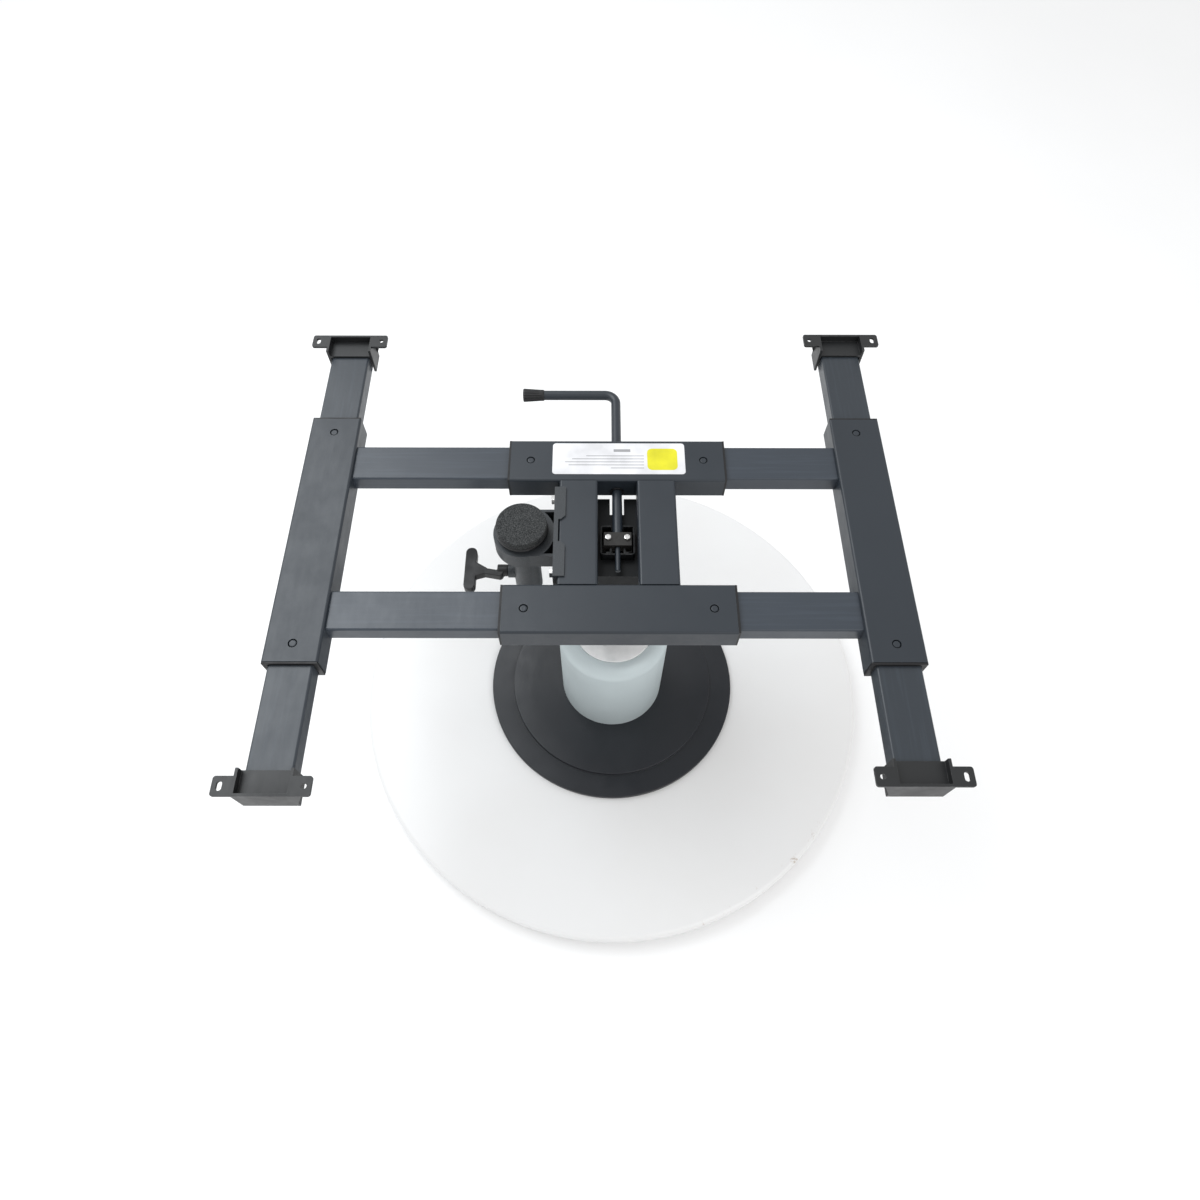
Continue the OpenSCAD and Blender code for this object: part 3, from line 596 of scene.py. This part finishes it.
def head_bolts():
    """Bolts under the head plate, heads down."""
    across, head, thread = 13 * MM, 5.3 * MM, 4 * MM
    pieces = []
    for i, (low, high, centre) in enumerate(solid_boxes("head_bolts")):
        flip = at(centre.x, centre.y, low.z + head) @ Matrix.Rotation(math.pi, 4, "X")
        pieces.append(hex_head(f"head_bolt_{i}", across, head, flip))
        shank = [(thread, low.z + 5 * MM), (thread, high.z)]
        pieces.append(ring_mesh(f"head_shank_{i}", shank, 32, at(centre.x, centre.y, 0)))
    place(join("head_bolts_set", pieces), "head_bolts")


def block_bolts():
    """Two bright bolts in the release block, with tapered tips."""
    across, head, thread, tip = 6.5 * MM, 3.0 * MM, 2.5 * MM, 0.5 * MM
    pieces = []
    for i, (low, high, centre) in enumerate(solid_boxes("block_bolts")):
        seat = high.z - head
        pieces.append(hex_head(f"block_bolt_{i}", across, head,
                               at(centre.x, centre.y, seat)))
        shank = [(thread - tip, low.z), (thread, low.z + tip), (thread, seat)]
        pieces.append(ring_mesh(f"block_shank_{i}", shank, 32, at(centre.x, centre.y, 0)))
    place(join("block_bolts_set", pieces), "block_bolts")


def clamp_plate_bolts():
    """Bolts of the side plate, heads to the left."""
    across, head, thread = 10 * MM, 4.5 * MM, 3 * MM
    pieces = []
    for i, (low, high, centre) in enumerate(solid_boxes("clamp_plate_bolts")):
        seat = low.x + head
        turn = at(seat, centre.y, centre.z) @ Matrix.Rotation(-math.pi / 2, 4, "Y")
        pieces.append(hex_head(f"plate_bolt_{i}", across, head, turn))
        shank = [(thread, seat - high.x), (thread, 0.0)]
        pieces.append(ring_mesh(f"plate_shank_{i}", shank, 32, turn))
    place(join("clamp_plate_bolts_set", pieces), "clamp_plate_bolts")


# ---------------------------------------------------------------- lever

def sweep(name, path, radii, sides=28):
    """A round rod along a path of points, with a radius at each."""
    bm = bmesh.new()
    loops = []
    up = Vector((0, 0, 1))
    for i, (point, r) in enumerate(zip(path, radii)):
        ahead = path[min(i + 1, len(path) - 1)] - path[max(i - 1, 0)]
        ahead.normalize()
        side = ahead.cross(up).normalized()
        top = side.cross(ahead).normalized()
        loops.append([bm.verts.new(point + side * r * math.cos(TAU * k / sides)
                                   + top * r * math.sin(TAU * k / sides))
                      for k in range(sides)])
    stitch(bm, loops)
    close_ends(bm, loops)
    return finish_mesh(name, bm)


def lever_rod():
    """Rod from its thin front journal through the block, back, and round to the left."""
    low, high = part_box("lever_rod")
    radius = (high.z - low.z) / 2
    z = (high.z + low.z) / 2
    bend, bend_steps = 14 * MM, 12
    back = high.y - radius
    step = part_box("release_block")[0].y + 4 * MM
    journal, front_bevel, end_bevel = 3 * MM, 0.6 * MM, 1 * MM
    path = [Vector((0, y, z)) for y in (low.y, low.y + front_bevel, step - 0.05 * MM,
                                        step, back - bend)]
    for i in range(1, bend_steps + 1):
        a = math.radians(90 * i / bend_steps)
        path.append(Vector((-bend + bend * math.cos(a), back - bend + bend * math.sin(a),
                            z)))
    path += [Vector((low.x + end_bevel, back, z)), Vector((low.x, back, z))]
    radii = [journal - front_bevel, journal, journal] + [radius] * (len(path) - 3)
    radii[-1] = radius - end_bevel
    place(sweep("lever_rod_bar", path, radii), "lever_rod")


def lever_grip():
    """Flared grip: a smooth collar, then ribs that deepen and run to a rounded end."""
    low, high, centre = measure("lever_grip")
    length = high.x - low.x
    end = (high.z - low.z) / 2
    start, collar = 7 * MM, 3 * MM
    ribs, rib_depth, rib_rings = 14, 0.75 * MM, 10
    ribbed_length = length - 4.2 * MM

    def ribbed(base, depth):
        def radius(angle):
            return base - depth * (0.5 + 0.5 * math.cos(ribs * angle)) ** 2
        return radius

    rings = [(start - 1.0 * MM, 0.0), (start - 0.2 * MM, 0.3 * MM), (start, 1.2 * MM),
             (start + 0.1 * MM, collar)]
    for i in range(1, rib_rings):
        share = i / rib_rings
        base = start + (end - start) * share
        depth = min(1.0, i / 2) * rib_depth
        rings.append((ribbed(base, depth), collar + ribbed_length * share))
    rings += [(ribbed(end - 0.1 * MM, rib_depth), length - 0.9 * MM),
              (ribbed(end - 0.7 * MM, 0.6 * MM), length - 0.2 * MM),
              (end - 2.2 * MM, length), (end - 5 * MM, length - 0.4 * MM)]
    turn = at(high.x, centre.y, centre.z) @ Matrix.Rotation(-math.pi / 2, 4, "Y")
    place(ring_mesh("lever_grip_cap", rings, 168, turn, 60.0), "lever_grip")


# ---------------------------------------------------------------- support post

def support_pad():
    """Round rubber pad: a rounded edge, and a top whose own mesh carries the grain."""
    low, high, centre = measure("support_pad")
    radius = (high.x - low.x) / 2
    sides, rows = 160, 34
    edge = 1.6 * MM
    grain_drop, grain_height = 0.28 * MM, 0.42 * MM

    def grained(r):
        def height(angle):
            x, y = r * math.cos(angle), r * math.sin(angle)
            coarse = noise.noise(Vector((x, y, 0.0)) * 520.0)
            fine = noise.noise(Vector((y, x, 0.3)) * 1250.0)
            return high.z - grain_drop + (0.6 * coarse + 0.4 * fine) * grain_height
        return height

    rings = [(radius, low.z)]
    rings += arc_points((radius - edge, high.z - edge), edge, 0, 80, 5)
    for row in range(1, rows):
        r = (radius - 1.8 * MM) * (1 - row / rows)
        rings.append((r, grained(r)))
    place(ring_mesh("support_pad_top", rings, sides, at(centre.x, centre.y, 0.0), 60.0),
          "support_pad")


def pad_cup():
    """Shallow black cup under the pad, with a coned foot and a rounded rim."""
    low, high, centre = measure("pad_cup")
    radius = (high.x - low.x) / 2
    height = high.z - low.z
    edge = 0.8 * MM
    rings = [(radius - 4.6 * MM, 0.0), (radius - 4 * MM, 0.3 * MM),
             (radius - 0.4 * MM, height / 2 - 0.3 * MM), (radius, height / 2 + 0.3 * MM)]
    rings += arc_points((radius - edge, height - edge), edge, 0, 90, 5)
    rings += [(radius - 3 * MM, height)]
    place(ring_mesh("pad_cup_dish", rings, 128, at(centre.x, centre.y, low.z)), "pad_cup")


def support_post():
    """Tube of the prop: open at the foot, closed 4 mm below its top."""
    low, high, centre = measure("support_post")
    radius = (high.x - low.x) / 2
    height = high.z - low.z
    inner = radius - 2 * MM
    ceiling = height - 4 * MM
    foot, crown = 0.5 * MM, 1 * MM
    rings = [(inner - 3 * MM, ceiling), (inner, ceiling), (inner, foot),
             (inner + foot, 0.0), (radius - foot, 0.0), (radius, foot),
             (radius, height - crown), (radius - crown, height)]
    place(ring_mesh("support_post_tube", rings, 96, at(centre.x, centre.y, low.z)),
          "support_post")


def clamp_handle():
    """Moulded T-handle: the CAD outline blended into one soft-edged casting."""
    piece = refine("clamp_handle", 1.2 * MM)
    remesh = piece.modifiers.new("blend", "REMESH")
    remesh.mode = "VOXEL"
    remesh.voxel_size = 0.6 * MM
    remesh.use_smooth_shade = True
    smooth = piece.modifiers.new("smooth", "SMOOTH")
    smooth.factor = 0.5
    smooth.iterations = 6
    place(bake_modifiers(piece), "clamp_handle")


# ---------------------------------------------------------------- label

def flat_shapes(name, outlines, base, height, material):
    """Thin raised shapes on the label, each from its (x, y) outline, riding with it."""
    bm = bmesh.new()
    for outline in outlines:
        face = bm.faces.new([bm.verts.new((x, y, base)) for x, y in outline])
        grown = bmesh.ops.extrude_face_region(bm, geom=[face])
        tops = [part for part in grown["geom"] if isinstance(part, bmesh.types.BMVert)]
        bmesh.ops.translate(bm, verts=tops, vec=(0.0, 0.0, height))
    piece = finish_mesh(name, bm)
    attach(piece, frame["nodes"]["rating_label"]["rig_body"])
    return paint(piece, "label_white", material)


def label():
    """White label with plain grey bars and a plain yellow tab, no lettering."""
    _, high, centre = measure("rating_label")
    place(refine("rating_label", 0.08 * MM, 1), "rating_label")
    ink = 0.05 * MM

    def block(x0, x1, y0, y1):
        corners = ((x0, y0), (x1, y0), (x1, y1), (x0, y1))
        return [(centre.x + x * MM, centre.y + y * MM) for x, y in corners]

    def rounded(x0, x1, y0, y1, radius):
        steps = 6
        points = []
        for corner, (x, y) in enumerate(((x1, y1), (x0, y1), (x0, y0), (x1, y0))):
            inward = ((-1, -1), (1, -1), (1, 1), (-1, 1))[corner]
            for i in range(steps + 1):
                a = math.radians(90 * corner + 90 * i / steps)
                points.append((centre.x + (x + (inward[0] + math.cos(a)) * radius) * MM,
                               centre.y + (y + (inward[1] + math.sin(a)) * radius) * MM))
        return points

    right, left, full_width, half_height = 30, 20, 84, 0.5
    bars = [block(right, left - full_width * share, y - half_height, y + half_height)
            for y, share in zip((-14, -9.5, -5, -0.5, 4), (0.35, 0.95, 1.0, 0.9, 0.7))]
    bars.append(block(-6, 14, 10, 14))
    flat_shapes("label_bars", bars, high.z, ink, "label_ink")
    flat_shapes("label_tab", [rounded(34, 70, -17, 15, 6)], high.z, ink, "label_yellow")


# ---------------------------------------------------------------- stage

def stage():
    """Pale floor in an even white studio, with soft boxes back left and front right."""
    bpy.ops.mesh.primitive_plane_add(size=14.0, location=(0, 0, 0))
    floor = bpy.context.object
    floor.name = "studio_floor"
    s = Shader("studio_floor", roughness=0.8, specular=0.1)
    s.colour(s.mix(s.band(s.noise(2.0, 3.0), 0.3, 0.7), (0.93, 0.93, 0.93),
                   (0.95, 0.95, 0.95)))
    floor.data.materials.append(s.material)

    world = bpy.data.worlds.new("studio")
    bpy.context.scene.world = world
    world.use_nodes = True
    background = world.node_tree.nodes["Background"]
    background.inputs["Color"].default_value = (1, 1, 1, 1)
    background.inputs["Strength"].default_value = 0.8
    bpy.context.scene.view_settings.view_transform = "Standard"

    def area(name, place_at, aim, size, power, tint):
        light = bpy.data.lights.new(name, "AREA")
        light.shape = "RECTANGLE"
        light.size, light.size_y = size
        light.energy = power
        light.color = tint
        lamp = bpy.data.objects.new(name, light)
        lamp.location = place_at
        direction = Vector(aim) - Vector(place_at)
        lamp.rotation_euler = direction.to_track_quat("-Z", "Y").to_euler()
        bpy.context.scene.collection.objects.link(lamp)

    area("key", (-1.35, 0.9, 2.5), (-0.1, 0, 0.4), (1.8, 1.9), 44.0, (0.93, 0.97, 1.0))
    area("fill", (1.6, -1.8, 2.0), (0, 0, 0.2), (1.8, 1.8), 19.0, (1.0, 1.0, 1.0))


def camera():
    """The photograph's viewing angle: close, high, steeply down.

    The angles, the lens and the place come from the camera fitted to the tube edges.
    """
    pitch, yaw, roll = (math.radians(a) for a in (61.587, 0.136, -0.207))
    ahead = Vector((math.sin(yaw) * math.cos(pitch), math.cos(yaw) * math.cos(pitch),
                    -math.sin(pitch)))
    right = Vector((math.cos(yaw), -math.sin(yaw), 0.0))
    down = ahead.cross(right)
    right_rolled = right * math.cos(roll) + down * math.sin(roll)
    down_rolled = -right * math.sin(roll) + down * math.cos(roll)
    rotation = Matrix((right_rolled, -down_rolled, -ahead)).transposed().to_4x4()
    data = bpy.data.cameras.new("camera")
    data.sensor_width = 36.0
    data.lens = 24.41
    data.shift_x = 0.001933
    data.clip_start = 0.05
    data.clip_end = 30.0
    eye = bpy.data.objects.new("camera", data)
    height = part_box("base_disc")[1].z + 1.2157
    eye.matrix_world = at(-0.0240, -0.5091, height) @ rotation
    bpy.context.scene.collection.objects.link(eye)
    bpy.context.scene.camera = eye


def main():
    camera()
    stage()
    base_disc()
    flange_cover()
    column_cover()
    rounded_nodes()
    for node in ("crossbar_screws", "left_rail_screws", "right_rail_screws"):
        flush_screws(node)
    head_bolts()
    block_bolts()
    clamp_plate_bolts()
    lever_rod()
    lever_grip()
    support_pad()
    pad_cup()
    support_post()
    clamp_handle()
    label()
    for node, piece in frame["nodes"].items():
        if not piece.hide_render:
            paint(piece, NODE_SLOTS[node])


main()
